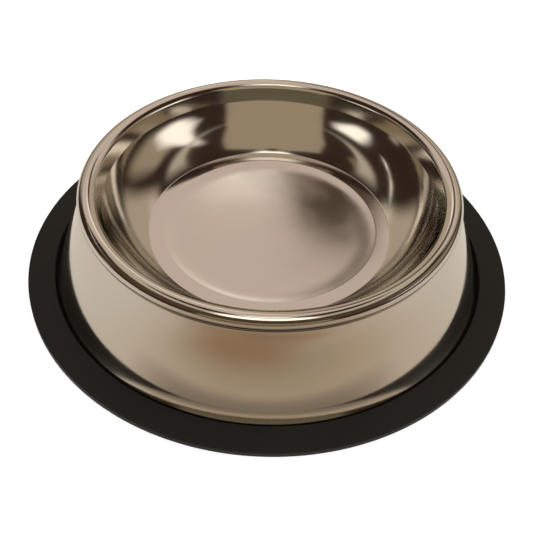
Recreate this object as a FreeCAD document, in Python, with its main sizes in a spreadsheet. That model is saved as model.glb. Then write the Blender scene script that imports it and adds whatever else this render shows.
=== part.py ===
import FreeCAD
import Part

import math
import os

import Sketcher

# Stainless steel dog bowl with a rubber base ring.
#
# The bowl is one pressed steel sheet: a floor with a low step, a hollow curved wall, a
# plain band under a rolled rim, and a flared skirt whose foot turns out into a flat lip.
# A moulded rubber ring is stretched over that lip and grips it in a slot.  Both pieces
# are turned shapes about Z.  The origin is the middle of the ring's underside, on the table, and all
# sizes are in millimetres.

# Driving dimensions: name, value, what it is.
DIMENSIONS = [
    ("sheet_thickness", 0.6, "steel sheet"),
    ("bowl_height", 52.4, "top of the rim above the table"),
    ("bowl_depth", 30.1, "top of the rim down to the ledge round the floor"),
    ("rim_diameter", 189.2, "outside of the rolled rim"),
    ("rim_outer_round", 4.0, "radius of the roll on its outer side"),
    ("rim_inner_round", 7.4, "radius of the roll on its inner side"),
    ("collar_top_drop", 1.8, "top of the rim down to the plain band inside it"),
    ("collar_foot_drop", 8.0, "top of the rim down to the crease between band and wall"),
    ("collar_inset", 7.1, "top of the rim in to that crease, along the radius"),
    ("under_rim_drop", 6.9, "top of the rim down to the crease where the skirt starts"),
    ("foot_diameter", 222.4, "crease where the skirt's foot turns out into the lip"),
    ("foot_lip", 2.7, "width of the flat lip"),
    ("flare_height", 7.1, "height of the skirt's foot, which flares out more"),
    ("flare_width", 3.5, "how far that foot comes out"),
    ("wall_curve", 45.0, "radius of the inner wall's hollow curve"),
    ("ledge_diameter", 124.8, "crease between the wall and the ledge round the floor"),
    ("ledge_width", 7.8, "flat of that ledge"),
    ("step_width", 4.0, "slope from the ledge down to the floor"),
    ("floor_drop", 1.5, "height of that slope"),
    ("ring_flange", 10.8, "rubber past the end of the slot"),
    ("ring_web", 1.3, "rubber under the steel lip"),
    ("ring_lip", 1.6, "rubber over the slot"),
    ("ring_seat", 4.7, "how far that web reaches in under the skirt"),
    ("ring_grip", 2.4, "how far the ring's upper lip covers the steel lip"),
    ("slot_clearance", 0.1, "free height above the steel lip in the slot"),
    ("slot_end_clearance", 0.3, "free depth past the steel lip in the slot"),
    ("ring_edge_bevel", 0.8, "bevel of the ring's outer top edge"),
    ("ring_base_bevel", 0.4, "bevel of the ring's outer bottom edge"),
    ("ring_lip_bevel", 0.4, "bevel of the upper lip's inner edge"),
]

# Places worked out from the driving dimensions: name, formula.
PLACES = [
    ("rim_top_radius", "=rim_diameter / 2 - rim_outer_round"),
    ("inner_roll_height", "=bowl_height - rim_inner_round"),
    ("collar_top_height", "=bowl_height - collar_top_drop"),
    ("collar_foot_height", "=bowl_height - collar_foot_drop"),
    ("collar_foot_radius", "=rim_top_radius - collar_inset"),
    ("under_rim_height", "=bowl_height - under_rim_drop"),
    ("foot_radius", "=foot_diameter / 2"),
    ("foot_lip_radius", "=foot_radius + foot_lip"),
    ("foot_lip_height", "=ring_web + sheet_thickness"),
    ("flare_top_height", "=foot_lip_height + flare_height"),
    ("flare_top_radius", "=foot_radius - flare_width"),
    ("ledge_radius", "=ledge_diameter / 2"),
    ("ledge_height", "=bowl_height - bowl_depth"),
    ("step_radius", "=ledge_radius - ledge_width"),
    ("floor_radius", "=step_radius - step_width"),
    ("floor_height", "=ledge_height - floor_drop"),
    ("ring_bore_radius", "=foot_radius - ring_seat"),
    ("ring_lip_radius", "=foot_lip_radius - ring_grip"),
    ("slot_radius", "=foot_lip_radius + slot_end_clearance"),
    ("slot_top", "=foot_lip_height + slot_clearance"),
    ("ring_radius", "=slot_radius + ring_flange"),
    ("ring_top", "=slot_top + ring_lip"),
]

doc = FreeCAD.newDocument("dog_bowl")
sheet = doc.addObject("Spreadsheet::Sheet", "Dims")
for row, (name, number, note) in enumerate(DIMENSIONS, start=1):
    sheet.set("A%d" % row, name)
    sheet.set("B%d" % row, str(number))
    sheet.set("C%d" % row, note)
    sheet.setAlias("B%d" % row, name)
for row, (name, formula) in enumerate(PLACES, start=len(DIMENSIONS) + 2):
    sheet.set("A%d" % row, name)
    sheet.setAlias("B%d" % row, name)
    sheet.set("B%d" % row, formula)
doc.recompute()


# ------------------------------------------------------------------ sketch helpers

START, END, CENTRE = 1, 2, 3     # which point of an element a constraint holds
AXES = -1                        # the sketch's origin and level axis
MIDDLE_LINE = -2                 # the sketch's upright axis


def size(name):
    """The number in one cell of the sheet."""
    return float(sheet.get(name))


def vector(point):
    return FreeCAD.Vector(point[0], point[1], 0)


def section_sketch(body, name):
    """A sketch on the body's XZ plane: its X is the radius, its Y the height."""
    planes = [part for part in body.Origin.OriginFeatures if part.Role == "XZ_Plane"]
    sketch = body.newObject("Sketcher::SketchObject", name)
    sketch.AttachmentSupport = [(planes[0], "")]
    sketch.MapMode = "FlatFace"
    doc.recompute()
    return sketch


def bind(sketch, constraint, label, formula):
    """Add a constraint whose value comes from the sheet."""
    index = sketch.addConstraint(constraint)
    sketch.renameConstraint(index, label)
    sketch.setExpression("Constraints." + label, formula)


def turned(body, sketch, name):
    """The sketch turned once round the Z axis."""
    feature = body.newObject("PartDesign::Revolution", name)
    feature.Profile = sketch
    feature.ReferenceAxis = (sketch, ["V_Axis"])
    feature.Angle = 360
    doc.recompute()
    return feature


# -------------------------------------------------------------------- steel bowl

def circles_meet(first, first_distance, second, second_distance):
    """The point at the two distances, on the left of the way from first to second."""
    dx = second[0] - first[0]
    dy = second[1] - first[1]
    gap = math.hypot(dx, dy)
    along = (first_distance ** 2 - second_distance ** 2 + gap ** 2) / (2 * gap)
    across = math.sqrt(first_distance ** 2 - along ** 2)
    return (first[0] + (along * dx - across * dy) / gap,
            first[1] + (along * dy + across * dx) / gap)


def mitre(before, corner, after, behind):
    """The corner of a chain moved to its right-hand side, as far from both its lines."""
    normals = []
    for start, end in ((before, corner), (corner, after)):
        length = math.dist(start, end)
        normals.append(((end[1] - start[1]) / length, (start[0] - end[0]) / length))
    (ax, ay), (bx, by) = normals
    share = behind / (1 + ax * bx + ay * by)
    return (corner[0] + share * (ax + bx), corner[1] + share * (ay + by))


def line_meets_circle(start, end, centre, radius, crossing):
    """Where the line through start and end meets a circle: first (-1) or second (+1) place."""
    length = math.dist(start, end)
    way = ((end[0] - start[0]) / length, (end[1] - start[1]) / length)
    off = (start[0] - centre[0], start[1] - centre[1])
    along = off[0] * way[0] + off[1] * way[1]
    half = math.sqrt(along ** 2 - off[0] ** 2 - off[1] ** 2 + radius ** 2)
    reach = crossing * half - along
    return (start[0] + reach * way[0], start[1] + reach * way[1])


def arc_between(sketch, centre, radius, start, end, turn):
    """An arc from start to end round centre, to the left (+1) or to the right (-1).

    Returns the element with its first and last point in walking order.
    """
    first = math.atan2(start[1] - centre[1], start[0] - centre[0])
    last = math.atan2(end[1] - centre[1], end[0] - centre[0])
    circle = Part.Circle(vector(centre), FreeCAD.Vector(0, 0, 1), radius)
    if turn > 0:
        return sketch.addGeometry(Part.ArcOfCircle(circle, first, last), False), START, END
    return sketch.addGeometry(Part.ArcOfCircle(circle, last, first), False), END, START


def line_between(sketch, start, end):
    return sketch.addGeometry(Part.LineSegment(vector(start), vector(end)), False), START, END


def sheet_face(sketch, side, behind):
    """Draw one face of the steel sheet, from its middle over the rim and out to the lip.

    behind is 0 for the visible face, and the sheet's thickness for the hidden one, which
    follows the visible face at that distance.  Returns the chain's elements by name, each
    with its first and last point.
    """
    minus = " - Dims.sheet_thickness" if behind else ""
    plus = " + Dims.sheet_thickness" if behind else ""
    floor_y = size("floor_height")
    ledge_y = size("ledge_height")
    lip_y = size("foot_lip_height")

    # The rolled rim is two arcs that meet at the top, so their centres share a radius.
    inner_roll = (size("rim_top_radius"), size("inner_roll_height"))
    outer_roll = (size("rim_top_radius"), size("bowl_height") - size("rim_outer_round"))
    lean = size("collar_top_height") - inner_roll[1]
    collar_top = (inner_roll[0] - math.sqrt(size("rim_inner_round") ** 2 - lean ** 2),
                  size("collar_top_height"))
    collar_foot = (size("collar_foot_radius"), size("collar_foot_height"))
    ledge_crease = (size("ledge_radius"), ledge_y)
    wall = circles_meet(ledge_crease, size("wall_curve"), collar_foot, size("wall_curve"))
    rim_drop = outer_roll[1] - size("under_rim_height")
    rim_crease = (outer_roll[0] + math.sqrt(size("rim_outer_round") ** 2 - rim_drop ** 2),
                  size("under_rim_height"))

    middle = (0, floor_y)
    step_foot = (size("floor_radius"), floor_y)
    step_top = (size("step_radius"), ledge_y)
    flare_top = (size("flare_top_radius"), size("flare_top_height"))
    foot = (size("foot_radius"), lip_y)
    lip_edge = (size("foot_lip_radius"), lip_y)
    rim_top = (outer_roll[0], size("bowl_height"))
    corners = {
        "floor": (middle[0], middle[1] - behind),
        "step": mitre(middle, step_foot, step_top, behind),
        "ledge": mitre(step_foot, step_top, ledge_crease, behind),
        "skirt": mitre(rim_top, rim_crease, flare_top, behind),
        "flare": mitre(rim_crease, flare_top, foot, behind),
        "lip": mitre(flare_top, foot, lip_edge, behind),
        "end": (lip_edge[0], lip_edge[1] - behind),
    }
    ledge_drop = wall[1] - ledge_y + behind
    ledge_reach = math.sqrt((size("wall_curve") + behind) ** 2 - ledge_drop ** 2)
    corners["wall"] = (wall[0] + ledge_reach, ledge_y - behind)
    length = math.dist(collar_foot, collar_top)
    aside = (behind * (collar_top[1] - collar_foot[1]) / length,
             behind * (collar_foot[0] - collar_top[0]) / length)
    band = [(point[0] + aside[0], point[1] + aside[1]) for point in (collar_foot, collar_top)]
    corners["collar"] = line_meets_circle(*band, wall, size("wall_curve") + behind, -1)
    corners["inner_roll"] = line_meets_circle(*band, inner_roll, size("rim_inner_round") - behind, 1)

    chain = {
        "floor": line_between(sketch, corners["floor"], corners["step"]),
        "step": line_between(sketch, corners["step"], corners["ledge"]),
        "ledge": line_between(sketch, corners["ledge"], corners["wall"]),
        "wall": arc_between(sketch, wall, size("wall_curve") + behind,
                            corners["wall"], corners["collar"], 1),
        "collar": line_between(sketch, corners["collar"], corners["inner_roll"]),
        "inner_roll": arc_between(sketch, inner_roll, size("rim_inner_round") - behind,
                                  corners["inner_roll"], rim_top, -1),
        "outer_roll": arc_between(sketch, outer_roll, size("rim_outer_round") - behind,
                                  rim_top, rim_crease, -1),
        "skirt": line_between(sketch, corners["skirt"], corners["flare"]),
        "flare": line_between(sketch, corners["flare"], corners["lip"]),
        "lip": line_between(sketch, corners["lip"], corners["end"]),
    }
    names = list(chain)
    for before, after in zip(names, names[1:]):
        kind = "Tangent" if after == "outer_roll" else "Coincident"
        first, second = chain[before], chain[after]
        sketch.addConstraint(Sketcher.Constraint(kind, first[0], first[2], second[0], second[1]))

    for name, cell, number in (("floor", "floor_height", floor_y), ("ledge", "ledge_height", ledge_y),
                               ("lip", "foot_lip_height", lip_y)):
        element, point, other = chain[name]
        sketch.addConstraint(Sketcher.Constraint("Horizontal", element))
        bind(sketch, Sketcher.Constraint("DistanceY", AXES, START, element, point, number - behind),
             side + cell, "Dims." + cell + minus)
    for name, cell, sign, change in (("wall", "wall_curve", 1, plus),
                                     ("inner_roll", "rim_inner_round", -1, minus),
                                     ("outer_roll", "rim_outer_round", -1, minus)):
        radius = size(cell) + sign * behind
        bind(sketch, Sketcher.Constraint("Radius", chain[name][0], radius),
             side + cell, "Dims." + cell + change)
    for name in ("inner_roll", "outer_roll"):
        bind(sketch, Sketcher.Constraint("DistanceX", AXES, START, chain[name][0], CENTRE, rim_top[0]),
             side + name + "_x", "Dims.rim_top_radius")
    bind(sketch, Sketcher.Constraint("DistanceY", AXES, START, chain["inner_roll"][0], CENTRE,
                                     inner_roll[1]),
         side + "inner_roll_y", "Dims.inner_roll_height")
    sketch.addConstraint(Sketcher.Constraint("PointOnObject", chain["floor"][0], START, MIDDLE_LINE))
    bind(sketch, Sketcher.Constraint("DistanceX", AXES, START, chain["lip"][0], END, lip_edge[0]),
         side + "lip_edge", "Dims.foot_lip_radius")
    return chain


def steel_bowl():
    """The pressed sheet: its visible face, the same a sheet behind it, turned about Z."""
    body = doc.addObject("PartDesign::Body", "steel_bowl")
    body.Label = "steel_bowl"
    sketch = section_sketch(body, "bowl_section")
    face = sheet_face(sketch, "face_", 0)
    back = sheet_face(sketch, "back_", size("sheet_thickness"))

    # The visible face carries the places, and the hidden one follows it.
    for name, cell in (("step", "floor_radius"), ("ledge", "step_radius"), ("wall", "ledge_radius"),
                       ("collar", "collar_foot_radius"), ("flare", "flare_top_radius"),
                       ("lip", "foot_radius")):
        element, point, other = face[name]
        bind(sketch, Sketcher.Constraint("DistanceX", AXES, START, element, point, size(cell)),
             "face_" + cell, "Dims." + cell)
    for name, cell in (("collar", "collar_foot_height"), ("inner_roll", "collar_top_height"),
                       ("skirt", "under_rim_height"), ("flare", "flare_top_height")):
        element, point, other = face[name]
        bind(sketch, Sketcher.Constraint("DistanceY", AXES, START, element, point, size(cell)),
             "face_" + cell, "Dims." + cell)
    for name in ("step", "collar", "skirt", "flare"):
        hidden, visible = back[name][0], face[name][0]
        sketch.addConstraint(Sketcher.Constraint("Parallel", hidden, visible))
        bind(sketch, Sketcher.Constraint("Distance", hidden, START, visible, size("sheet_thickness")),
             "back_" + name + "_gap", "Dims.sheet_thickness")
    sketch.addConstraint(Sketcher.Constraint("Coincident", face["wall"][0], CENTRE,
                                             back["wall"][0], CENTRE))
    for name, point in (("floor", START), ("lip", END)):
        ends = [sketch.getPoint(chain[name][0], point) for chain in (face, back)]
        cap = sketch.addGeometry(Part.LineSegment(ends[0], ends[1]), False)
        sketch.addConstraint(Sketcher.Constraint("Coincident", cap, START, face[name][0], point))
        sketch.addConstraint(Sketcher.Constraint("Coincident", cap, END, back[name][0], point))
    doc.recompute()
    body.Tip = turned(body, sketch, "bowl_sheet")
    doc.recompute()
    return body


# ------------------------------------------------------------------- rubber ring

def rubber_ring():
    """The base ring: a flat flange with a slot in its bore for the steel lip."""
    body = doc.addObject("PartDesign::Body", "rubber_ring")
    body.Label = "rubber_ring"
    sketch = section_sketch(body, "ring_section")
    corners = [
        # radius cell, height cell (None is the table)
        ("ring_bore_radius", None),
        ("ring_radius", None),
        ("ring_radius", "ring_top"),
        ("ring_lip_radius", "ring_top"),
        ("ring_lip_radius", "slot_top"),
        ("slot_radius", "slot_top"),
        ("slot_radius", "ring_web"),
        ("ring_bore_radius", "ring_web"),
    ]
    points = [(size(x), size(y) if y else 0.0) for x, y in corners]
    lines = []
    for point, following in zip(points, points[1:] + points[:1]):
        line = sketch.addGeometry(Part.LineSegment(vector(point), vector(following)), False)
        kind = "Horizontal" if point[1] == following[1] else "Vertical"
        sketch.addConstraint(Sketcher.Constraint(kind, line))
        lines.append(line)
    for line, following in zip(lines, lines[1:] + lines[:1]):
        sketch.addConstraint(Sketcher.Constraint("Coincident", line, END, following, START))
    for corner in (0, 2, 4, 6):
        cell = corners[corner][0]
        bind(sketch, Sketcher.Constraint("DistanceX", AXES, START, lines[corner], START, size(cell)),
             "x_" + cell, "Dims." + cell)
    sketch.addConstraint(Sketcher.Constraint("PointOnObject", lines[0], START, AXES))
    for corner in (2, 4, 6):
        cell = corners[corner][1]
        bind(sketch, Sketcher.Constraint("DistanceY", AXES, START, lines[corner], START, size(cell)),
             "y_" + cell, "Dims." + cell)
    doc.recompute()
    ring = turned(body, sketch, "ring_flange")
    bevelled = [
        # feature name, circle's radius cell, circle's height cell, bevel cell
        ("outer_top_bevel", "ring_radius", "ring_top", "ring_edge_bevel"),
        ("outer_base_bevel", "ring_radius", None, "ring_base_bevel"),
        ("lip_bevel", "ring_lip_radius", "ring_top", "ring_lip_bevel"),
    ]
    for name, radius_cell, height_cell, bevel_cell in bevelled:
        height = size(height_cell) if height_cell else 0.0
        edge = circle_edge(ring.Shape, size(radius_cell), height)
        bevel = body.newObject("PartDesign::Chamfer", name)
        bevel.Base = (ring, [edge])
        bevel.Size = size(bevel_cell)
        bevel.setExpression("Size", "Dims." + bevel_cell)
        doc.recompute()
        ring = bevel
    body.Tip = ring
    doc.recompute()
    return body


def circle_edge(shape, radius, height):
    """Name of the level circular edge with this radius and height."""
    for index, edge in enumerate(shape.Edges, start=1):
        curve = edge.Curve
        if not isinstance(curve, Part.Circle):
            continue
        level = abs(curve.Center.z - height) < 1e-4 and abs(abs(curve.Axis.z) - 1) < 1e-6
        if level and abs(curve.Radius - radius) < 1e-4:
            return "Edge%d" % index
    raise RuntimeError("no circle of radius %g at height %g" % (radius, height))


# ----------------------------------------------------------------- build and write

pieces = [steel_bowl(), rubber_ring()]
doc.recompute()
for item in doc.Objects:
    if "Invalid" in item.State or "Error" in item.State:
        raise RuntimeError("failed: %s %s" % (item.Name, item.State))
for piece in pieces:
    if piece.Shape.isNull() or not piece.Shape.isValid() or len(piece.Shape.Solids) != 1:
        raise RuntimeError("bad shape: " + piece.Label)

os.makedirs("parts", exist_ok=True)
for piece in pieces:
    box = piece.Shape.BoundBox
    print("%s volume %.1f mm3, radius %.2f, z %.2f to %.2f"
          % (piece.Label, piece.Shape.Volume, box.XMax, box.ZMin, box.ZMax))
    piece.Shape.exportStep("parts/%s.step" % piece.Label)
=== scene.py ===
"""Stainless steel dog bowl with a rubber base ring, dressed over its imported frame.

The bowl is a pressed sheet turned about Z, and the ring is a moulding turned about the
same axis.  Both are made by one Geometry Nodes tree, which turns a section curve.  The
sections follow the source of the solids, with the small bends that it leaves crisp.
"""

import math

import bpy
from mathutils import Matrix, Vector


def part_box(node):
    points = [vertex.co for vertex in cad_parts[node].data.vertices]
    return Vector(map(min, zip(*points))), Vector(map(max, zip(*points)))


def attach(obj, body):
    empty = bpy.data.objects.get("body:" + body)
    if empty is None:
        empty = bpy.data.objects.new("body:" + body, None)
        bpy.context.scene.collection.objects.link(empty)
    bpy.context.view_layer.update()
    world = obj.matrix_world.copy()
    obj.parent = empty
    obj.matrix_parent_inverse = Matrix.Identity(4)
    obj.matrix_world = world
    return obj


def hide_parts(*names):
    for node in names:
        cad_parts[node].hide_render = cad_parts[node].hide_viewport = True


bl_info = {
    "name": "Stainless dog bowl",
    "version": (1, 0, 0),
    "blender": (4, 5, 0),
    "location": "View3D > Sidebar > Dog Bowl",
    "description": "Builds a pressed steel dog bowl on a rubber ring, and a studio for it",
    "category": "Add Mesh",
}

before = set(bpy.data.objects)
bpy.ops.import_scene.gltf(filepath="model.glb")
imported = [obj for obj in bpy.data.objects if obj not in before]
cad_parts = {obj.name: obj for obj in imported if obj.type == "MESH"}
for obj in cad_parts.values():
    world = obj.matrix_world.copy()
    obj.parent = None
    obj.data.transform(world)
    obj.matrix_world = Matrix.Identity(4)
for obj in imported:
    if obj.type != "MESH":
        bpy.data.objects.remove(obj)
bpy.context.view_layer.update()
SHEET_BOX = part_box("steel_bowl")
RING_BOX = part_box("rubber_ring")
MM = 0.001
SHEET_SEGMENTS = 320                           # how finely each piece is turned round Z
RING_SEGMENTS = 360


# ------------------------------------------------------------------ small helpers

def linear(hex_colour):
    """An sRGB hex colour such as C8BFB2 as linear red, green and blue."""
    channels = [int(hex_colour[i:i + 2], 16) / 255 for i in (0, 2, 4)]
    return tuple(c / 12.92 if c <= 0.04045 else ((c + 0.055) / 1.055) ** 2.4 for c in channels)


def length(name, description, default):
    """A size, in metres."""
    return bpy.props.FloatProperty(name=name, description=description, default=default,
                                   unit="LENGTH", precision=5)


def colour(name, description, hex_colour):
    """A colour, from an sRGB hex value."""
    return bpy.props.FloatVectorProperty(name=name, description=description, size=3, min=0, max=1,
                                         subtype="COLOR", default=linear(hex_colour))


def angle(name, description, degrees):
    """An angle, from degrees."""
    return bpy.props.FloatProperty(name=name, description=description, subtype="ANGLE",
                                   default=math.radians(degrees))


def amount(name, description, default, high=1.0):
    """A plain number from 0 up."""
    return bpy.props.FloatProperty(name=name, description=description, default=default,
                                   min=0, max=high)


# ------------------------------------------------------------------ sizes and colours

class BowlSizes(bpy.types.PropertyGroup):
    """Section of the pressed steel sheet."""

    sheet: length("Sheet", "Thickness of the steel", 0.6 * MM)
    height: length("Height", "Top of the rim above the table", SHEET_BOX[1].z)
    depth: length("Depth", "Top of the rim down to the ledge round the floor", 30.1 * MM)
    rim_radius: length("Rim radius", "Outside of the rolled rim", 94.6 * MM)
    rim_outer_round: length("Rim outer round", "Roll radius on its outer side", 4.0 * MM)
    rim_inner_round: length("Rim inner round", "Roll radius on its inner side", 7.4 * MM)
    rim_slope: angle("Rim slope", "Where the inner roll turns sharper, above level", 55)
    rim_edge: length("Rim edge", "Sharper radius down into the collar", 2.0 * MM)
    collar_tilt: angle("Collar tilt", "Lean of the plain band under the rim", 19.5)
    collar_bow: length("Collar bow", "Radius of that band's slight bow", 400 * MM)
    collar_drop: length("Collar drop", "Top of the rim down to the band's end", 8.0 * MM)
    collar_bend: length("Collar bend", "Radius between the band and the wall", 2.0 * MM)
    under_rim_drop: length("Under rim", "Top of the rim down to the bend under it", 7.2 * MM)
    under_rim_bend: length("Under rim bend", "Radius of that bend", 1.5 * MM)
    skirt_bulge: length("Skirt bulge", "Radius of the skirt's slight bulge", 530 * MM)
    lip_radius: length("Lip radius", "Edge of the flat foot lip", SHEET_BOX[1].x)
    flare: length("Flare", "Hollow radius of the skirt's foot", 25 * MM)
    flare_tilt: angle("Flare tilt", "Where that foot turns out sharper, above level", 36)
    lip_width: length("Lip width", "Flat of the foot lip", 2.0 * MM)
    foot_round: length("Foot round", "Radius between the flare and the lip", 1.0 * MM)
    wall_curve: length("Wall curve", "Hollow radius of the inner wall", 45 * MM)
    ledge_radius: length("Ledge radius", "Outside of the ledge round the floor", 62 * MM)
    ledge_bend: length("Ledge bend", "Radius between ledge and wall", 1.0 * MM)
    floor_radius: length("Floor radius", "Flat middle of the floor", 45.5 * MM)
    floor_drop: length("Floor drop", "Ledge down to the floor", 0.5 * MM)
    step_curve: length("Step curve", "Hollow radius from the floor up the low step", 90 * MM)
    step_round: length("Step round", "Radius of the step's upper edge", 3 * MM)


class RingSizes(bpy.types.PropertyGroup):
    """Section of the rubber ring."""

    radius: length("Radius", "Outside of the ring", RING_BOX[1].x)
    height: length("Height", "Top of the ring", RING_BOX[1].z)
    bore_radius: length("Bore radius", "Inside of the web under the steel", 106.5 * MM)
    web: length("Web", "Rubber under the steel lip", 1.3 * MM)
    lip_radius: length("Upper lip radius", "Inside of the lip over the steel", 111.5 * MM)
    slot_radius: length("Slot radius", "End of the slot that holds the steel", 114.2 * MM)
    slot_top: length("Slot top", "Top of that slot", 2.0 * MM)
    edge_round: length("Edge round", "Rounding of the outer top edge", 0.8 * MM)
    small_round: length("Small round", "Rounding of the other edges", 0.4 * MM)


class Finishes(bpy.types.PropertyGroup):
    """Colours and gloss of the two materials."""

    steel: colour("Steel", "Polished stainless steel", "CFC8BE")
    steel_roughness: amount("Steel roughness", "Buffed rim, wall and skirt", 0.10)
    floor_roughness: amount("Floor roughness", "Satin floor, where the buff hardly reaches", 0.13)
    rubber: colour("Rubber", "Black moulded rubber", "1D1B17")
    rubber_roughness: amount("Rubber roughness", "Matt moulded skin", 0.58)


class Studio(bpy.types.PropertyGroup):
    """Table, lights and camera."""

    table: colour("Table", "Plain pale table", "F4F3F1")
    table_lift: amount("Table lift", "Light added to the table as a backdrop", 0.48)
    lamp_power: amount("Lamp power", "Each softbox, in watts", 9.0, 1000)
    room_light: amount("Room light", "Even light from all round", 0.55, 10)
    camera_distance: length("Camera distance", "From the middle of the ring's base", 437 * MM)
    camera_elevation: angle("Camera elevation", "Above the table", 43.58)
    camera_roll: angle("Camera roll", "Tilt of the hand-held camera", 2.719)
    camera_side: length("Camera side", "How far the camera stands to the right", 0.5 * MM)
    camera_lens: amount("Lens", "Focal length in mm on a 36 mm sensor", 53.195, 500)


# ------------------------------------------------------------------ sections

def arc(centre, radius, first, last, step):
    """Points along an arc between two angles, ends included, no further apart than a step."""
    steps = max(2, math.ceil(abs(last - first) / step))
    angles = [first + (last - first) * i / steps for i in range(steps + 1)]
    return [(centre[0] + radius * math.cos(a), centre[1] + radius * math.sin(a)) for a in angles]


def circles_meet(first, first_distance, second, second_distance, side):
    """The point at the two distances, on the left (+1) or right (-1) of first to second."""
    dx = second[0] - first[0]
    dy = second[1] - first[1]
    gap = math.hypot(dx, dy)
    along = (first_distance ** 2 - second_distance ** 2 + gap ** 2) / (2 * gap)
    across = side * math.sqrt(first_distance ** 2 - along ** 2)
    return (first[0] + (along * dx - across * dy) / gap,
            first[1] + (along * dy + across * dx) / gap)


def step_off(point, distance, direction):
    """The point at a distance in a direction, in radians."""
    return (point[0] + distance * math.cos(direction), point[1] + distance * math.sin(direction))


def sheet_bends(s):
    """The sheet's bends from the floor out to the foot.

    Each is its centre, its radius, and 1 where it is hollow or -1 where it is round.
    """
    ledge_y = s.height - s.depth
    rim_top = s.rim_radius - s.rim_outer_round
    foot = s.lip_radius - s.lip_width
    lip_y = SHEET_BOX[0].z + s.sheet

    step_foot = (s.floor_radius, ledge_y - s.floor_drop + s.step_curve)
    edge_y = ledge_y - s.step_round
    reach = math.sqrt((s.step_curve + s.step_round) ** 2 - (edge_y - step_foot[1]) ** 2)
    step_edge = (step_foot[0] + reach, edge_y)
    ledge = (s.ledge_radius, ledge_y + s.ledge_bend)
    inner_roll = (rim_top, s.height - s.rim_inner_round)
    rim_edge = step_off(inner_roll, s.rim_inner_round - s.rim_edge, math.pi - s.rim_slope)
    collar = step_off(rim_edge, s.rim_edge - s.collar_bow, math.pi - s.collar_tilt)
    drop = s.height - s.collar_drop - collar[1]
    collar_end = (collar[0] - math.sqrt((s.collar_bow + s.collar_bend) ** 2 - drop ** 2),
                  s.height - s.collar_drop)
    wall = circles_meet(ledge, s.wall_curve - s.ledge_bend,
                        collar_end, s.wall_curve - s.collar_bend, 1)
    outer_roll = (rim_top, s.height - s.rim_outer_round)
    bend_y = s.height - s.under_rim_drop
    reach = math.sqrt((s.rim_outer_round + s.under_rim_bend) ** 2 - (bend_y - outer_roll[1]) ** 2)
    under_rim = (outer_roll[0] + reach, bend_y)
    foot_round = (foot, lip_y + s.foot_round)
    flare = step_off(foot_round, s.flare - s.foot_round, s.flare_tilt)
    skirt = circles_meet(under_rim, s.skirt_bulge + s.under_rim_bend,
                         flare, s.skirt_bulge + s.flare, -1)
    return [
        (step_foot, s.step_curve, 1), (step_edge, s.step_round, -1),
        (ledge, s.ledge_bend, 1), (wall, s.wall_curve, 1), (collar_end, s.collar_bend, 1),
        (collar, s.collar_bow, -1), (rim_edge, s.rim_edge, -1),
        (inner_roll, s.rim_inner_round, -1), (outer_roll, s.rim_outer_round, -1),
        (under_rim, s.under_rim_bend, 1), (skirt, s.skirt_bulge, -1),
        (flare, s.flare, 1), (foot_round, s.foot_round, 1),
    ]


def sheet_face(s, behind):
    """One face of the sheet from its middle out to the lip, behind the visible one."""
    bends = sheet_bends(s)
    level_before = (0, 2)                      # the floor and the ledge lead into these bends
    level_after = (1, len(bends) - 1)          # the ledge and the lip follow these bends
    guard = 0.4 * MM                           # keeps a level face level beside its bend
    same_point = 0.0001 * MM
    (_, foot_height), foot_radius, _ = bends[0]
    points = [(0, foot_height - foot_radius - behind)]
    start = -math.pi / 2                       # the floor is level where the first bend starts
    for place, (centre, radius, turn) in enumerate(bends):
        if place in level_after:
            end = -turn * math.pi / 2
        else:
            other, other_radius, other_turn = bends[place + 1]
            end = math.atan2(other[1] - centre[1], other[0] - centre[0])
            if other_turn == turn and other_radius > radius:
                end += math.pi
        # A hollow bend is walked anticlockwise, and a round one clockwise.
        end = start + turn * (turn * (end - start) % math.tau)
        degrees = 3 if radius < 10 * MM else 1 if radius < 100 * MM else 0.2
        step = math.radians(degrees * (3 if behind else 1))    # coarser where it isn't seen
        run = arc(centre, radius + turn * behind, start, end, step)
        if place in level_before:
            points.append((run[0][0] - guard, run[0][1]))
        points += run if math.dist(points[-1], run[0]) > same_point else run[1:]
        if place in level_after:
            points.append((run[-1][0] + guard, run[-1][1]))
            start = -math.pi / 2
        else:
            start = end if bends[place + 1][2] == turn else end + math.pi
    points.append((s.lip_radius, points[-1][1]))
    return points


def sheet_section(s):
    """The whole section: the visible face out to the lip, and the hidden face back."""
    return sheet_face(s, 0) + sheet_face(s, s.sheet)[::-1]


def rounded(corners):
    """A closed section with its corners rounded: each corner is radius, height, rounding."""
    guard = 0.25 * MM                          # keeps a flat face flat beside its rounding
    step = math.radians(11.25)
    points = []
    for place, (x, y, radius) in enumerate(corners):
        before, after = corners[place - 1], corners[(place + 1) % len(corners)]
        into = Vector((x - before[0], y - before[1])).normalized()
        away = Vector((after[0] - x, after[1] - y)).normalized()
        turn = 1 if into.cross(away) > 0 else -1
        centre = Vector((x, y)) - into * radius + Vector((-into.y, into.x)) * radius * turn
        first = math.atan2(-into.x * turn, into.y * turn)
        points.append(tuple(Vector((x, y)) - into * (radius + guard)))
        points += arc(centre, radius, first, first + turn * math.pi / 2, step)
        points.append(tuple(Vector((x, y)) + away * (radius + guard)))
    return points + points[:1]


def ring_section(s):
    """The ring's section, walked with the rubber on the right: bore, slot, top, side, base."""
    fine = 0.05 * MM                           # the slot's corners are nearly sharp
    return rounded([
        (s.bore_radius, 0, s.small_round),
        (s.bore_radius, s.web, s.small_round),
        (s.slot_radius, s.web, fine),
        (s.slot_radius, s.slot_top, fine),
        (s.lip_radius, s.slot_top, fine),
        (s.lip_radius, s.height, s.small_round),
        (s.radius, s.height, s.edge_round),
        (s.radius, 0, s.small_round),
    ])


# ------------------------------------------------------------------ turning tree

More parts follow.
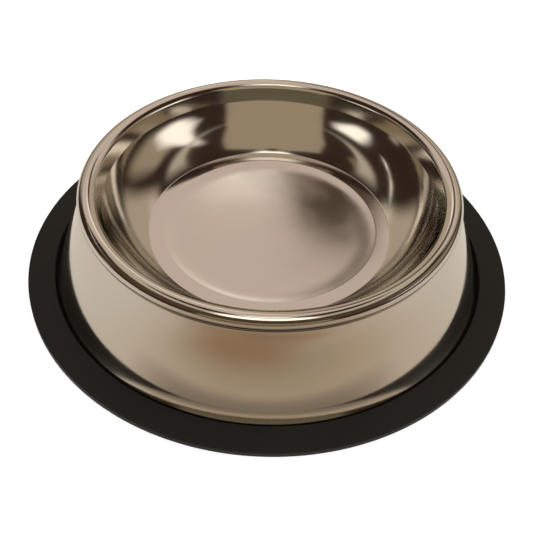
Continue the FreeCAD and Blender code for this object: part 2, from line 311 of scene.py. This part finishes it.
def add_node(tree, kind, settings=None, inputs=None):
    """Add a node, set its properties, and set or link its inputs by name or number."""
    node = tree.nodes.new(kind)
    for key, value in (settings or {}).items():
        setattr(node, key, value)
    for key, value in (inputs or {}).items():
        socket = node.inputs[key]
        if isinstance(value, bpy.types.NodeSocket):
            tree.links.new(value, socket)
        else:
            socket.default_value = value
    return node


def turning_tree():
    """A tree that turns a section curve, drawn in XZ, once round the Z axis."""
    tree = bpy.data.node_groups.new("Turn section", "GeometryNodeTree")
    face = tree.interface
    face.new_socket("Section", in_out="INPUT", socket_type="NodeSocketGeometry")
    segments = face.new_socket("Segments", in_out="INPUT", socket_type="NodeSocketInt")
    segments.default_value = SHEET_SEGMENTS
    finish = face.new_socket("Finish", in_out="INPUT", socket_type="NodeSocketMaterial")
    face.new_socket("Turned", in_out="OUTPUT", socket_type="NodeSocketGeometry")
    start = add_node(tree, "NodeGroupInput").outputs

    count = add_node(tree, "GeometryNodeAttributeDomainSize", {"component": "CURVE"},
                     {"Geometry": start["Section"]}).outputs["Point Count"]
    columns = add_node(tree, "ShaderNodeMath", {"operation": "ADD"},
                       {0: start["Segments"], 1: 1.0}).outputs[0]
    grid = add_node(tree, "GeometryNodeMeshGrid", None,
                    {"Vertices X": columns, "Vertices Y": count}).outputs["Mesh"]

    # The grid counts along Y first, so a vertex's number gives its column and its row.
    index = add_node(tree, "GeometryNodeInputIndex").outputs[0]
    row = add_node(tree, "ShaderNodeMath", {"operation": "MODULO"},
                   {0: index, 1: count}).outputs[0]
    ratio = add_node(tree, "ShaderNodeMath", {"operation": "DIVIDE"},
                     {0: index, 1: count}).outputs[0]
    column = add_node(tree, "ShaderNodeMath", {"operation": "FLOOR"}, {0: ratio}).outputs[0]
    share = add_node(tree, "ShaderNodeMath", {"operation": "DIVIDE"},
                     {0: column, 1: start["Segments"]}).outputs[0]
    turn_by = add_node(tree, "ShaderNodeMath", {"operation": "MULTIPLY"},
                       {0: share, 1: math.tau}).outputs[0]

    place = add_node(tree, "GeometryNodeInputPosition").outputs[0]
    sample = add_node(tree, "GeometryNodeSampleIndex",
                      {"data_type": "FLOAT_VECTOR", "domain": "POINT"},
                      {"Geometry": start["Section"], "Value": place, "Index": row}).outputs[0]
    turned = add_node(tree, "ShaderNodeVectorRotate", {"rotation_type": "Z_AXIS"},
                      {"Vector": sample, "Angle": turn_by}).outputs[0]
    mesh = add_node(tree, "GeometryNodeSetPosition", None,
                    {"Geometry": grid, "Position": turned}).outputs[0]
    mesh = add_node(tree, "GeometryNodeMergeByDistance", None,
                    {"Geometry": mesh, "Distance": 0.001 * MM}).outputs[0]
    mesh = add_node(tree, "GeometryNodeFlipFaces", None, {"Mesh": mesh}).outputs[0]
    mesh = add_node(tree, "GeometryNodeSetShadeSmooth", None, {"Geometry": mesh}).outputs[0]
    mesh = add_node(tree, "GeometryNodeRealizeInstances", None, {"Geometry": mesh}).outputs[0]
    mesh = add_node(tree, "GeometryNodeSetMaterial", None,
                    {"Geometry": mesh, "Material": start["Finish"]}).outputs[0]
    add_node(tree, "NodeGroupOutput", None, {"Turned": mesh})
    return tree, segments.identifier, finish.identifier


def turn(name, section, segments, finish):
    """Turn a section into a plain mesh object that holds the finish."""
    curve = bpy.data.curves.new(name + "_section", "CURVE")
    curve.dimensions = "3D"
    spline = curve.splines.new("POLY")
    spline.points.add(len(section) - 1)
    for point, (radius, height) in zip(spline.points, section):
        point.co = (radius, 0, height, 1)
    holder = bpy.data.objects.new(name + "_section", curve)
    bpy.context.collection.objects.link(holder)
    tree, segments_socket, finish_socket = turning_tree()
    modifier = holder.modifiers.new("Turn", "NODES")
    modifier.node_group = tree
    modifier[segments_socket] = segments
    modifier[finish_socket] = finish
    depsgraph = bpy.context.evaluated_depsgraph_get()
    mesh = bpy.data.meshes.new_from_object(holder.evaluated_get(depsgraph), depsgraph=depsgraph)
    mesh.name = name
    bpy.data.objects.remove(holder)
    piece = bpy.data.objects.new(name, mesh)
    bpy.context.collection.objects.link(piece)
    return piece


# ------------------------------------------------------------------ finishes

def new_material(name):
    """An empty node material, and its tree."""
    material = bpy.data.materials.new(name)
    material.use_nodes = True
    material.node_tree.nodes.clear()
    return material, material.node_tree


def polished_stainless(looks, sizes):
    """Pressed stainless steel, buffed bright, with a satin floor.

    The real sheet is 18/8 stainless, drawn in a press and buffed on a lathe.  The eye
    gets clear, slightly wavy reflections on wall, rim and skirt, and softer ones with
    faint turning lines on the floor, where the buff hardly reaches.
    """
    material, tree = new_material("Buffed stainless steel")
    place = add_node(tree, "ShaderNodeTexCoord").outputs["Object"]
    flat = add_node(tree, "ShaderNodeVectorMath", {"operation": "MULTIPLY"},
                    {0: place, 1: (1, 1, 0)}).outputs[0]
    distance = add_node(tree, "ShaderNodeVectorMath", {"operation": "LENGTH"},
                        {0: flat}).outputs["Value"]      # from the bowl's axis, in metres

    # Satin floor: a little rougher inside the step than from the ledge out.
    floor = add_node(tree, "ShaderNodeMapRange", {"interpolation_type": "SMOOTHSTEP"},
                     {"Value": distance, "From Min": sizes.floor_radius - 2 * MM,
                      "From Max": sizes.ledge_radius - 4 * MM,
                      "To Min": looks.floor_roughness, "To Max": looks.steel_roughness}).outputs[0]
    # Handling marks about 25 mm across change the gloss a little.
    marks = add_node(tree, "ShaderNodeTexNoise", None,
                     {"Vector": place, "Scale": 40.0, "Detail": 4.0, "Roughness": 0.6}).outputs[0]
    marks = add_node(tree, "ShaderNodeMapRange", None,
                     {"Value": marks, "From Min": 0.35, "From Max": 0.7,
                      "To Min": 0.85, "To Max": 1.3}).outputs[0]
    roughness = add_node(tree, "ShaderNodeMath", {"operation": "MULTIPLY"},
                         {0: floor, 1: marks}).outputs[0]

    # Press waviness about 30 mm long, and on the floor turning lines 1.5 mm apart: the real
    # ones are a few tenths of a millimetre apart, too fine to show.
    waves = add_node(tree, "ShaderNodeTexNoise", None,
                     {"Vector": place, "Scale": 32.0, "Detail": 1.0}).outputs[0]
    lines = add_node(tree, "ShaderNodeMath", {"operation": "MULTIPLY"},
                     {0: distance, 1: math.tau / (1.5 * MM)}).outputs[0]
    lines = add_node(tree, "ShaderNodeMath", {"operation": "SINE"}, {0: lines}).outputs[0]
    satin = add_node(tree, "ShaderNodeMapRange", None,
                     {"Value": distance, "From Min": sizes.ledge_radius,
                      "From Max": sizes.ledge_radius - 4 * MM}).outputs[0]
    lines = add_node(tree, "ShaderNodeMath", {"operation": "MULTIPLY"},
                     {0: lines, 1: satin}).outputs[0]
    wavy = add_node(tree, "ShaderNodeBump", None,
                    {"Strength": 0.12, "Distance": 0.4 * MM, "Height": waves}).outputs[0]
    turned = add_node(tree, "ShaderNodeBump", None,
                      {"Strength": 0.01, "Distance": 0.01 * MM, "Height": lines,
                       "Normal": wavy}).outputs[0]
    shader = add_node(tree, "ShaderNodeBsdfPrincipled", None,
                      {"Base Color": (*looks.steel, 1), "Metallic": 1.0,
                       "Roughness": roughness, "Normal": turned}).outputs[0]
    add_node(tree, "ShaderNodeOutputMaterial", None, {"Surface": shader})
    return material


def moulded_rubber(looks):
    """Black rubber, compression moulded, with a matt skin.

    The real ring is filled synthetic rubber.  The eye gets a very dark, slightly warm
    grey with a dull sheen at low angles, and a fine grain from the mould.
    """
    material, tree = new_material("Moulded black rubber")
    place = add_node(tree, "ShaderNodeTexCoord").outputs["Object"]
    # Bloom on the skin: patches about 30 mm across, a little greyer.
    bloom = add_node(tree, "ShaderNodeTexNoise", None,
                     {"Vector": place, "Scale": 33.0, "Detail": 5.0, "Roughness": 0.62}).outputs[0]
    bloom = add_node(tree, "ShaderNodeMapRange", None,
                     {"Value": bloom, "From Min": 0.35, "From Max": 0.75,
                      "To Min": 0.0, "To Max": 0.35}).outputs[0]
    tone = add_node(tree, "ShaderNodeMix", {"data_type": "RGBA"},
                    {"Factor": bloom, 6: (*looks.rubber, 1),
                     7: (*[c * 1.5 for c in looks.rubber], 1)}).outputs[2]
    # Mould grain: real grit is about 0.2 mm, drawn at 0.7 mm so that it shows.
    grain = add_node(tree, "ShaderNodeTexNoise", None,
                     {"Vector": place, "Scale": 1 / (0.7 * MM), "Detail": 2.0}).outputs[0]
    bump = add_node(tree, "ShaderNodeBump", None,
                    {"Strength": 0.25, "Distance": 0.05 * MM, "Height": grain}).outputs[0]
    shader = add_node(tree, "ShaderNodeBsdfPrincipled", None,
                      {"Base Color": tone, "Roughness": looks.rubber_roughness, "IOR": 1.5,
                       "Specular IOR Level": 0.25, "Normal": bump}).outputs[0]
    add_node(tree, "ShaderNodeOutputMaterial", None, {"Surface": shader})
    return material


# ------------------------------------------------------------------ studio

def backdrop_rays(tree):
    """1 for the camera's rays and for what shiny and clear things show, and 0 for light."""
    rays = add_node(tree, "ShaderNodeLightPath").outputs
    seen = add_node(tree, "ShaderNodeMath", {"operation": "MAXIMUM"},
                    {0: rays["Is Camera Ray"], 1: rays["Is Glossy Ray"]}).outputs[0]
    return add_node(tree, "ShaderNodeMath", {"operation": "MAXIMUM"},
                    {0: seen, 1: rays["Is Transmission Ray"]}).outputs[0]


def table_top(studio):
    """Plain pale paper.

    As a backdrop it is lifted towards white for the camera, and the same light is in what
    steel shows of it; the bowl's shadow stays.
    """
    material, tree = new_material("Pale backdrop paper")
    lift = add_node(tree, "ShaderNodeMath", {"operation": "MULTIPLY"},
                    {0: backdrop_rays(tree), 1: studio.table_lift}).outputs[0]
    paper = add_node(tree, "ShaderNodeBsdfDiffuse", None,
                     {"Color": (*studio.table, 1)}).outputs[0]
    glow = add_node(tree, "ShaderNodeEmission", None, {"Strength": lift}).outputs[0]
    both = add_node(tree, "ShaderNodeAddShader", None, {0: paper, 1: glow}).outputs[0]
    add_node(tree, "ShaderNodeOutputMaterial", None, {"Surface": both})
    return material


def even_light(studio):
    """A white world behind everything, dimmer for the light that it gives."""
    world = bpy.data.worlds.new("even_light")
    world.use_nodes = True
    tree = world.node_tree
    tree.nodes.clear()
    strength = add_node(tree, "ShaderNodeMapRange", None,
                        {"Value": backdrop_rays(tree), "To Min": studio.room_light,
                         "To Max": 1.0}).outputs[0]
    shade = add_node(tree, "ShaderNodeBackground", None,
                     {"Color": (1, 1, 1, 1), "Strength": strength}).outputs[0]
    add_node(tree, "ShaderNodeOutputWorld", None, {"Surface": shade})
    return world


def soft_edge(tree, along, share):
    """1 on a card, fading to 0 over a share of it at both ends of one direction."""
    middle = add_node(tree, "ShaderNodeMath", {"operation": "SUBTRACT"},
                      {0: along, 1: 0.5}).outputs[0]
    away = add_node(tree, "ShaderNodeMath", {"operation": "ABSOLUTE"}, {0: middle}).outputs[0]
    return add_node(tree, "ShaderNodeMapRange", {"interpolation_type": "SMOOTHSTEP"},
                    {"Value": away, "From Min": 0.5, "From Max": 0.5 - share}).outputs[0]


def near_only(tree):
    """1 for what looks from within 0.23 m, as the rim beside it does, fading to 0 by 0.25 m."""
    reach = add_node(tree, "ShaderNodeLightPath").outputs["Ray Length"]
    return add_node(tree, "ShaderNodeMapRange", {"interpolation_type": "SMOOTHSTEP"},
                    {"Value": reach, "From Min": 0.25, "From Max": 0.23}).outputs[0]


def card_material(name, hex_colour, strength, soft):
    """Lit cloth or card with soft edges, clear past them.

    The softness is a share of its width and of its height.  A near card has none for its
    height, and is clear to what looks at it from further off than the rim.
    """
    material, tree = new_material(name)
    place = add_node(tree, "ShaderNodeUVMap", {"uv_map": "card"}).outputs[0]
    axes = add_node(tree, "ShaderNodeSeparateXYZ", None, {0: place}).outputs
    across = soft_edge(tree, axes["X"], soft[0])
    upright = near_only(tree) if soft[1] is None else soft_edge(tree, axes["Y"], soft[1])
    mask = add_node(tree, "ShaderNodeMath", {"operation": "MULTIPLY"},
                    {0: across, 1: upright}).outputs[0]
    clear = add_node(tree, "ShaderNodeBsdfTransparent").outputs[0]
    glow = add_node(tree, "ShaderNodeEmission", None,
                    {"Color": (*linear(hex_colour), 1), "Strength": strength}).outputs[0]
    both = add_node(tree, "ShaderNodeMixShader", None, {0: mask, 1: clear, 2: glow}).outputs[0]
    add_node(tree, "ShaderNodeOutputMaterial", None, {"Surface": both})
    return material


def only_in_reflections(thing):
    """Make a thing of the studio one that only shiny surfaces show."""
    thing.visible_camera = False
    thing.visible_diffuse = False
    thing.visible_transmission = False
    thing.visible_volume_scatter = False
    thing.visible_shadow = False


def new_object(name, vertices, faces, material):
    """A mesh object from its points and faces, with one material."""
    mesh = bpy.data.meshes.new(name)
    mesh.from_pydata(vertices, [], faces)
    mesh.materials.append(material)
    thing = bpy.data.objects.new(name, mesh)
    bpy.context.collection.objects.link(thing)
    return thing


# Cloths and cards hung round the bowl.  Each has its name, colour, strength, distance in
# metres, soft share of its width and of its height, and its rows from the top down:
# elevation, then azimuth of both sides, in degrees from +X towards +Y.
CARDS = [
    ("front_cloth", "B5A58D", 1.0, 1.8, (0.06, 0.05),
     [(88, 180, 360), (84, 180, 360), (72, 180, 358), (62, 205, 332), (51, 222, 316),
      (41, 228, 311), (30, 232, 307), (12, 235, 304)]),
    ("front_low", "6E6654", 1.0, 1.9, (0.1, 0.15),
     [(16, 230, 309), (0.2, 230, 309)]),
    ("ceiling_lamp", "FFFBF0", 2.2, 1.5, (0.3, 0.25),
     [(76, 50, 130), (84, 10, 170), (88.5, 0, 180)]),
    ("back_wall", "E4D4C9", 1.0, 2.0, (0.15, 0.08),
     [(78, 72, 110), (60, 64, 118), (50, 54, 126), (33, 42, 138)]),
    ("back_low", "C8B9A5", 1.0, 2.1, (0.15, 0.2),
     [(46, 34, 140), (30, 35, 140), (8, 35, 145)]),
    ("back_glow", "FFF6EC", 1.3, 1.95, (0.35, 0.2),
     [(40.0, 87, 100), (33, 87, 100)]),
    ("back_shade", "4E3C2E", 1.0, 1.9, (0.2, 0.12),
     [(43.4, 77, 85), (41, 77, 88.5), (33, 77, 91)]),
    ("right_window", "FFF9F0", 1.7, 1.7, (0.35, 0.2),
     [(60, -21, -9), (46, -21, -4), (38, -28, 2), (30, -40, 10), (22, -34, 6), (14, -18, 2)]),
    ("right_glow", "B0A28C", 1.0, 1.75, (0.3, 0.3),
     [(42, -18, 26), (34, -24, 34), (22, -24, 40), (8, -8, 40)]),
    ("left_window", "FFF9F0", 1.8, 1.7, (0.35, 0.3),
     [(42, 190, 226), (33, 188, 229), (20, 196, 208)]),
    ("left_streak", "FFF6E8", 1.5, 1.75, (0.3, 0.1),
     [(38.6, 126, 138), (35.3, 149, 161), (32, 171, 183)]),
    ("left_tan", "8C7D64", 1.0, 2.1, (0.25, 0.25),
     [(60, 150, 185), (45, 150, 182)]),
    ("left_low_glow", "C8B8AA", 0.8, 1.8, (0.4, 0.4),
     [(14, 176, 188), (4, 176, 188)]),
]
CARD_COLUMNS = 16

# Glowing cloths close over the bowl's sides, which only the rim reflects: they paint the rim's
# dark band and its front highlight as reflections.  Each has its name, colour, strength,
# azimuth of both sides in degrees, and its rows: radius and height in metres.
NEAR_CARDS = [
    ("near_cloth", "5A4838", 1.0, 160, 380, [(0.26, 0.12), (0.26, 0.2), (0.17, 0.2)]),
    ("near_left", "D3CAB7", 1.0, 110, 250, [(0.165, 0.2), (0.105, 0.2)]),
    ("near_right", "D3CAB7", 1.0, -70, 70, [(0.165, 0.2), (0.105, 0.2)]),
    ("near_lamp", "FFFBF0", 2.2, 232, 308, [(0.20, 0.26), (0.10, 0.26)]),
]
NEAR_COLUMNS = 48
NEAR_SOFT = (0.2, None)

# Tones on the mat under the bowl, each over those before it: its middle, its reach, both in
# metres, and its colour.  The last, just in front of the ring, is a painted shadow of the bowl.
MAT_COLOUR = "E9E1D5"
MAT_TONES = [
    ((0, -1.0), (1.5, 0.95), "AF9375"),
    ((0, -1.8), (1.5, 0.9), "5A4C3C"),
    ((0.05, -0.30), (0.40, 0.34), "CDB9A2"),
    ((0.0, -0.36), (0.32, 0.28), "B6A68F"),
    ((-0.08, -0.50), (0.27, 0.32), "A88A6D"),
    # Painted shadow of the bowl on the mat, just in front of the ring.
    ((0.0, -0.13), (0.14, 0.05), "968879"),
]


def bent_card(name, rows, columns, material):
    """A card bent round the bowl through rows of radius, height, and azimuth of both sides.

    Its UV map runs from side to side and from the first row to the last.
    """
    vertices, uvs, faces = [], [], []
    for place, (radius, height, left, right) in enumerate(rows):
        for i in range(columns + 1):
            a = math.radians(left + (right - left) * i / columns)
            vertices.append((radius * math.cos(a), radius * math.sin(a), height))
            uvs.append((i / columns, place / (len(rows) - 1)))
    across = columns + 1
    for place in range(len(rows) - 1):
        for first in range(place * across, place * across + columns):
            faces.append((first, first + 1, first + across + 1, first + across))
    card = new_object(name, vertices, faces, material)
    layer = card.data.uv_layers.new(name="card")
    for loop in card.data.loops:
        layer.data[loop.index].uv = uvs[loop.vertex_index]
    only_in_reflections(card)


def hang_cards():
    """Hang every card and cloth round the bowl."""
    for name, hex_colour, strength, left, right, rows in NEAR_CARDS:
        bent_card(name, [(*row, left, right) for row in rows], NEAR_COLUMNS,
                  card_material(name, hex_colour, strength, NEAR_SOFT))
    for name, hex_colour, strength, distance, soft, rows in CARDS:
        rows = [(distance * math.cos(math.radians(elevation)),
                 distance * math.sin(math.radians(elevation)), left, right)
                for elevation, left, right in rows]
        bent_card(name, rows, CARD_COLUMNS, card_material(name, hex_colour, strength, soft))


def lay_table(studio):
    """The square table top that the bowl stands on."""
    reach = 4.0
    corners = [(-reach, -reach, 0), (reach, -reach, 0), (reach, reach, 0), (-reach, reach, 0)]
    new_object("table", corners, [(0, 1, 2, 3)], table_top(studio))


def dark_surround():
    """Dark cloth all round and overhead, so that the steel has something dark to show."""
    material, tree = new_material("Dark brown cloth")
    glow = add_node(tree, "ShaderNodeEmission", None,
                    {"Color": (*linear("3A2D25"), 1), "Strength": 1.0}).outputs[0]
    add_node(tree, "ShaderNodeOutputMaterial", None, {"Surface": glow})
    bpy.ops.mesh.primitive_uv_sphere_add(segments=48, ring_count=24, radius=2.4)
    dome = bpy.context.object
    dome.name = "dark_surround"
    dome.data.materials.append(material)
    only_in_reflections(dome)


def mat_material():
    """Pale mat, tan and brown in front, for what the skirt shows.  It glows, so its tones are
    painted light, and the tone just in front of the ring is a painted shadow of the bowl.
    """
    material, tree = new_material("Beige mat")
    place = add_node(tree, "ShaderNodeTexCoord").outputs["Object"]
    tone = (*linear(MAT_COLOUR), 1)
    for centre, size, hex_colour in MAT_TONES:
        moved = add_node(tree, "ShaderNodeVectorMath", {"operation": "SUBTRACT"},
                         {0: place, 1: (*centre, 0)}).outputs[0]
        scaled = add_node(tree, "ShaderNodeVectorMath", {"operation": "DIVIDE"},
                          {0: moved, 1: (*size, 1)}).outputs[0]
        reach = add_node(tree, "ShaderNodeVectorMath", {"operation": "LENGTH"},
                         {0: scaled}).outputs["Value"]
        patch = add_node(tree, "ShaderNodeMapRange", {"interpolation_type": "SMOOTHSTEP"},
                         {"Value": reach, "From Min": 0.3, "From Max": 1.0,
                          "To Min": 1.0, "To Max": 0.0}).outputs[0]
        tone = add_node(tree, "ShaderNodeMix", {"data_type": "RGBA"},
                        {"Factor": patch, 6: tone, 7: (*linear(hex_colour), 1)}).outputs[2]
    glow = add_node(tree, "ShaderNodeEmission", None, {"Color": tone, "Strength": 1.0}).outputs[0]
    add_node(tree, "ShaderNodeOutputMaterial", None, {"Surface": glow})
    return material


def beige_mat():
    """A mat round the ring's foot, just over the table, that only the steel shows."""
    inner, outer, height, steps = 126.5 * MM, 2.0, 0.2 * MM, 96
    vertices, faces = [], []
    for i in range(steps):
        a = math.tau * i / steps
        for radius in (inner, outer):
            vertices.append((radius * math.cos(a), radius * math.sin(a), height))
        j = (i + 1) % steps
        faces.append((2 * i, 2 * i + 1, 2 * j + 1, 2 * j))
    only_in_reflections(new_object("beige_mat", vertices, faces, mat_material()))


# The two softboxes: their names and places in metres, and the side of both.
LAMPS = [("left_softbox", (-1.1, -0.5, 1.1)), ("right_softbox", (1.2, 0.3, 0.9))]
LAMP_SIZE = 0.9


def lamp(name, place, power):
    """A softbox that faces the bowl and isn't seen itself."""
    light = bpy.data.lights.new(name, "AREA")
    light.shape = "SQUARE"
    light.size = LAMP_SIZE
    light.energy = power
    holder = bpy.data.objects.new(name, light)
    bpy.context.collection.objects.link(holder)
    holder.location = place
    holder.rotation_euler = (-Vector(place)).to_track_quat("-Z", "Y").to_euler()
    holder.visible_glossy = False
    holder.visible_camera = False


def camera(studio):
    """The picture's view: looking down at the bowl's front, with a slight roll."""
    away = Vector((0, -math.cos(studio.camera_elevation), math.sin(studio.camera_elevation)))
    pan, tilt = 0.007763, -0.02283             # how far the bowl is off the picture's middle
    right = Vector((1, 0, 0))
    up = right.cross(-away)
    look = (-away + pan * right + tilt * up).normalized()
    right = look.cross(Vector((0, 0, 1))).normalized()
    up = right.cross(look)
    c, s = math.cos(studio.camera_roll), math.sin(studio.camera_roll)
    right, up = c * right + s * up, c * up - s * right
    data = bpy.data.cameras.new("camera")
    data.lens = studio.camera_lens
    data.sensor_width = 36
    holder = bpy.data.objects.new("camera", data)
    bpy.context.collection.objects.link(holder)
    place = away * studio.camera_distance + Vector((studio.camera_side, 0, 0))
    turned = Matrix((right, up, -look)).transposed()
    holder.matrix_world = Matrix.Translation(place) @ turned.to_4x4()
    bpy.context.scene.camera = holder


# ------------------------------------------------------------------ operators

class DOGBOWL_OT_bowl(bpy.types.Operator):
    """Build the pressed steel bowl"""

    bl_idname = "dogbowl.bowl"
    bl_label = "Steel bowl"

    def execute(self, context):
        looks = context.scene.dogbowl_finishes
        sizes = context.scene.dogbowl_bowl
        piece = turn("pressed_bowl", sheet_section(sizes), SHEET_SEGMENTS,
                     polished_stainless(looks, sizes))
        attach(piece, "root")
        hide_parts("steel_bowl")
        return {"FINISHED"}


class DOGBOWL_OT_ring(bpy.types.Operator):
    """Build the moulded rubber ring"""

    bl_idname = "dogbowl.ring"
    bl_label = "Rubber ring"

    def execute(self, context):
        looks = context.scene.dogbowl_finishes
        sizes = context.scene.dogbowl_ring
        piece = turn("moulded_ring", ring_section(sizes), RING_SEGMENTS, moulded_rubber(looks))
        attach(piece, "root")
        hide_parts("rubber_ring")
        return {"FINISHED"}


class DOGBOWL_OT_studio(bpy.types.Operator):
    """Set up the table, the lights and the camera"""

    bl_idname = "dogbowl.studio"
    bl_label = "Studio"

    def execute(self, context):
        studio = context.scene.dogbowl_studio
        lay_table(studio)
        context.scene.world = even_light(studio)
        dark_surround()
        beige_mat()
        hang_cards()
        for name, place in LAMPS:
            lamp(name, place, studio.lamp_power)
        camera(studio)
        context.scene.view_settings.view_transform = "Standard"
        return {"FINISHED"}


class DOGBOWL_PT_panel(bpy.types.Panel):
    """Sizes, colours and build buttons"""

    bl_idname = "DOGBOWL_PT_panel"
    bl_label = "Dog bowl"
    bl_space_type = "VIEW_3D"
    bl_region_type = "UI"
    bl_category = "Dog Bowl"

    def draw(self, context):
        for name, operator in (("dogbowl_bowl", "dogbowl.bowl"), ("dogbowl_ring", "dogbowl.ring"),
                               ("dogbowl_finishes", None), ("dogbowl_studio", "dogbowl.studio")):
            group = getattr(context.scene, name)
            column = self.layout.column(align=True)
            for key in group.__annotations__:
                column.prop(group, key)
            if operator:
                column.operator(operator)


GROUPS = {
    "dogbowl_bowl": BowlSizes,
    "dogbowl_ring": RingSizes,
    "dogbowl_finishes": Finishes,
    "dogbowl_studio": Studio,
}
CLASSES = (*GROUPS.values(), DOGBOWL_OT_bowl, DOGBOWL_OT_ring, DOGBOWL_OT_studio, DOGBOWL_PT_panel)


def register():
    for item in CLASSES:
        bpy.utils.register_class(item)
    for name, group in GROUPS.items():
        setattr(bpy.types.Scene, name, bpy.props.PointerProperty(type=group))


def unregister():
    for name in GROUPS:
        delattr(bpy.types.Scene, name)
    for item in reversed(CLASSES):
        bpy.utils.unregister_class(item)


def main():
    register()
    bpy.ops.dogbowl.bowl()
    bpy.ops.dogbowl.ring()
    bpy.ops.dogbowl.studio()


if __name__ == "__main__":
    main()
